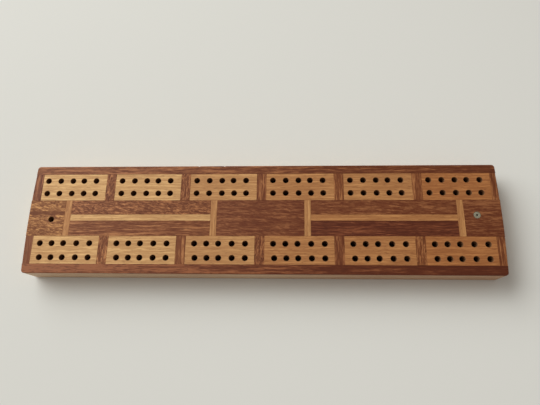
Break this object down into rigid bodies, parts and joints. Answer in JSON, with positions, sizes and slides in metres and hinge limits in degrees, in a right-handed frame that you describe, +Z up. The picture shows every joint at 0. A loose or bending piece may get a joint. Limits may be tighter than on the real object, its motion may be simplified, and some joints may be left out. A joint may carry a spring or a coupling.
{
  "type": "cribbage box with drawer",
  "caption": "Flat wooden cribbage board with a marquetry top and rows of peg holes; a shallow drawer for the pegs slides out of one end as far as its stop pin.",
  "frame": {"origin": "middle of the underside", "axes": "+X along the board towards the drawer, +Y across it away from the player, +Z up"},
  "size_m": [0.2684, 0.0636, 0.0159],
  "materials": {
    "dark_veneer": "sliced mahogany-like veneer, sanded and wax polished",
    "light_veneer": "sliced maple-like veneer, sanded and wax polished",
    "box_wood": "planed pale hardwood, thinly oiled",
    "drawer_wood": "planed pale hardwood, bare",
    "steel": "dull zinc-plated steel, sanded flush",
    "dark_peg_wood": "turned walnut, waxed",
    "light_peg_wood": "turned maple, waxed"
  },
  "bodies": {
    "box": {"back_block": "box_wood", "back_divider_1": "dark_veneer", "back_divider_2": "dark_veneer", "back_divider_3": "dark_veneer", "back_divider_4": "dark_veneer", "back_divider_5": "dark_veneer", "back_hole_panel_1": "light_veneer", "back_hole_panel_2": "light_veneer", "back_hole_panel_3": "light_veneer", "back_hole_panel_4": "light_veneer", "back_hole_panel_5": "light_veneer", "back_hole_panel_6": "light_veneer", "back_left_end_bar": "dark_veneer", "back_rail": "dark_veneer", "back_right_end_bar": "dark_veneer", "bottom_board": "box_wood", "centre_panel": "dark_veneer", "cover_strip": "box_wood", "filler_block": "box_wood", "front_block": "box_wood", "front_divider_1": "dark_veneer", "front_divider_2": "dark_veneer", "front_divider_3": "dark_veneer", "front_divider_4": "dark_veneer", "front_divider_5": "dark_veneer", "front_hole_panel_1": "light_veneer", "front_hole_panel_2": "light_veneer", "front_hole_panel_3": "light_veneer", "front_hole_panel_4": "light_veneer", "front_hole_panel_5": "light_veneer", "front_hole_panel_6": "light_veneer", "front_left_end_bar": "dark_veneer", "front_rail": "dark_veneer", "front_right_end_bar": "dark_veneer", "left_back_field": "dark_veneer", "left_end_panel": "dark_veneer", "left_front_field": "dark_veneer", "left_inner_strip": "light_veneer", "left_line": "light_veneer", "left_outer_strip": "light_veneer", "right_back_field": "dark_veneer", "right_end_panel": "dark_veneer", "right_front_field": "dark_veneer", "right_inner_strip": "light_veneer", "right_line": "light_veneer", "right_outer_strip": "light_veneer", "stop_pin": "steel"},
    "drawer": {"dark_peg_1": "dark_peg_wood", "dark_peg_2": "dark_peg_wood", "drawer_back": "drawer_wood", "drawer_bottom": "drawer_wood", "drawer_far_side": "drawer_wood", "drawer_front": "drawer_wood", "drawer_near_side": "drawer_wood", "light_peg_1": "light_peg_wood", "light_peg_2": "light_peg_wood"}
  },
  "joints": [
    {"name": "drawer_slide", "type": "slide", "parent": "box", "child": "drawer", "axis": [1, 0, 0], "range_m": [0, 0.095]}
  ]
}
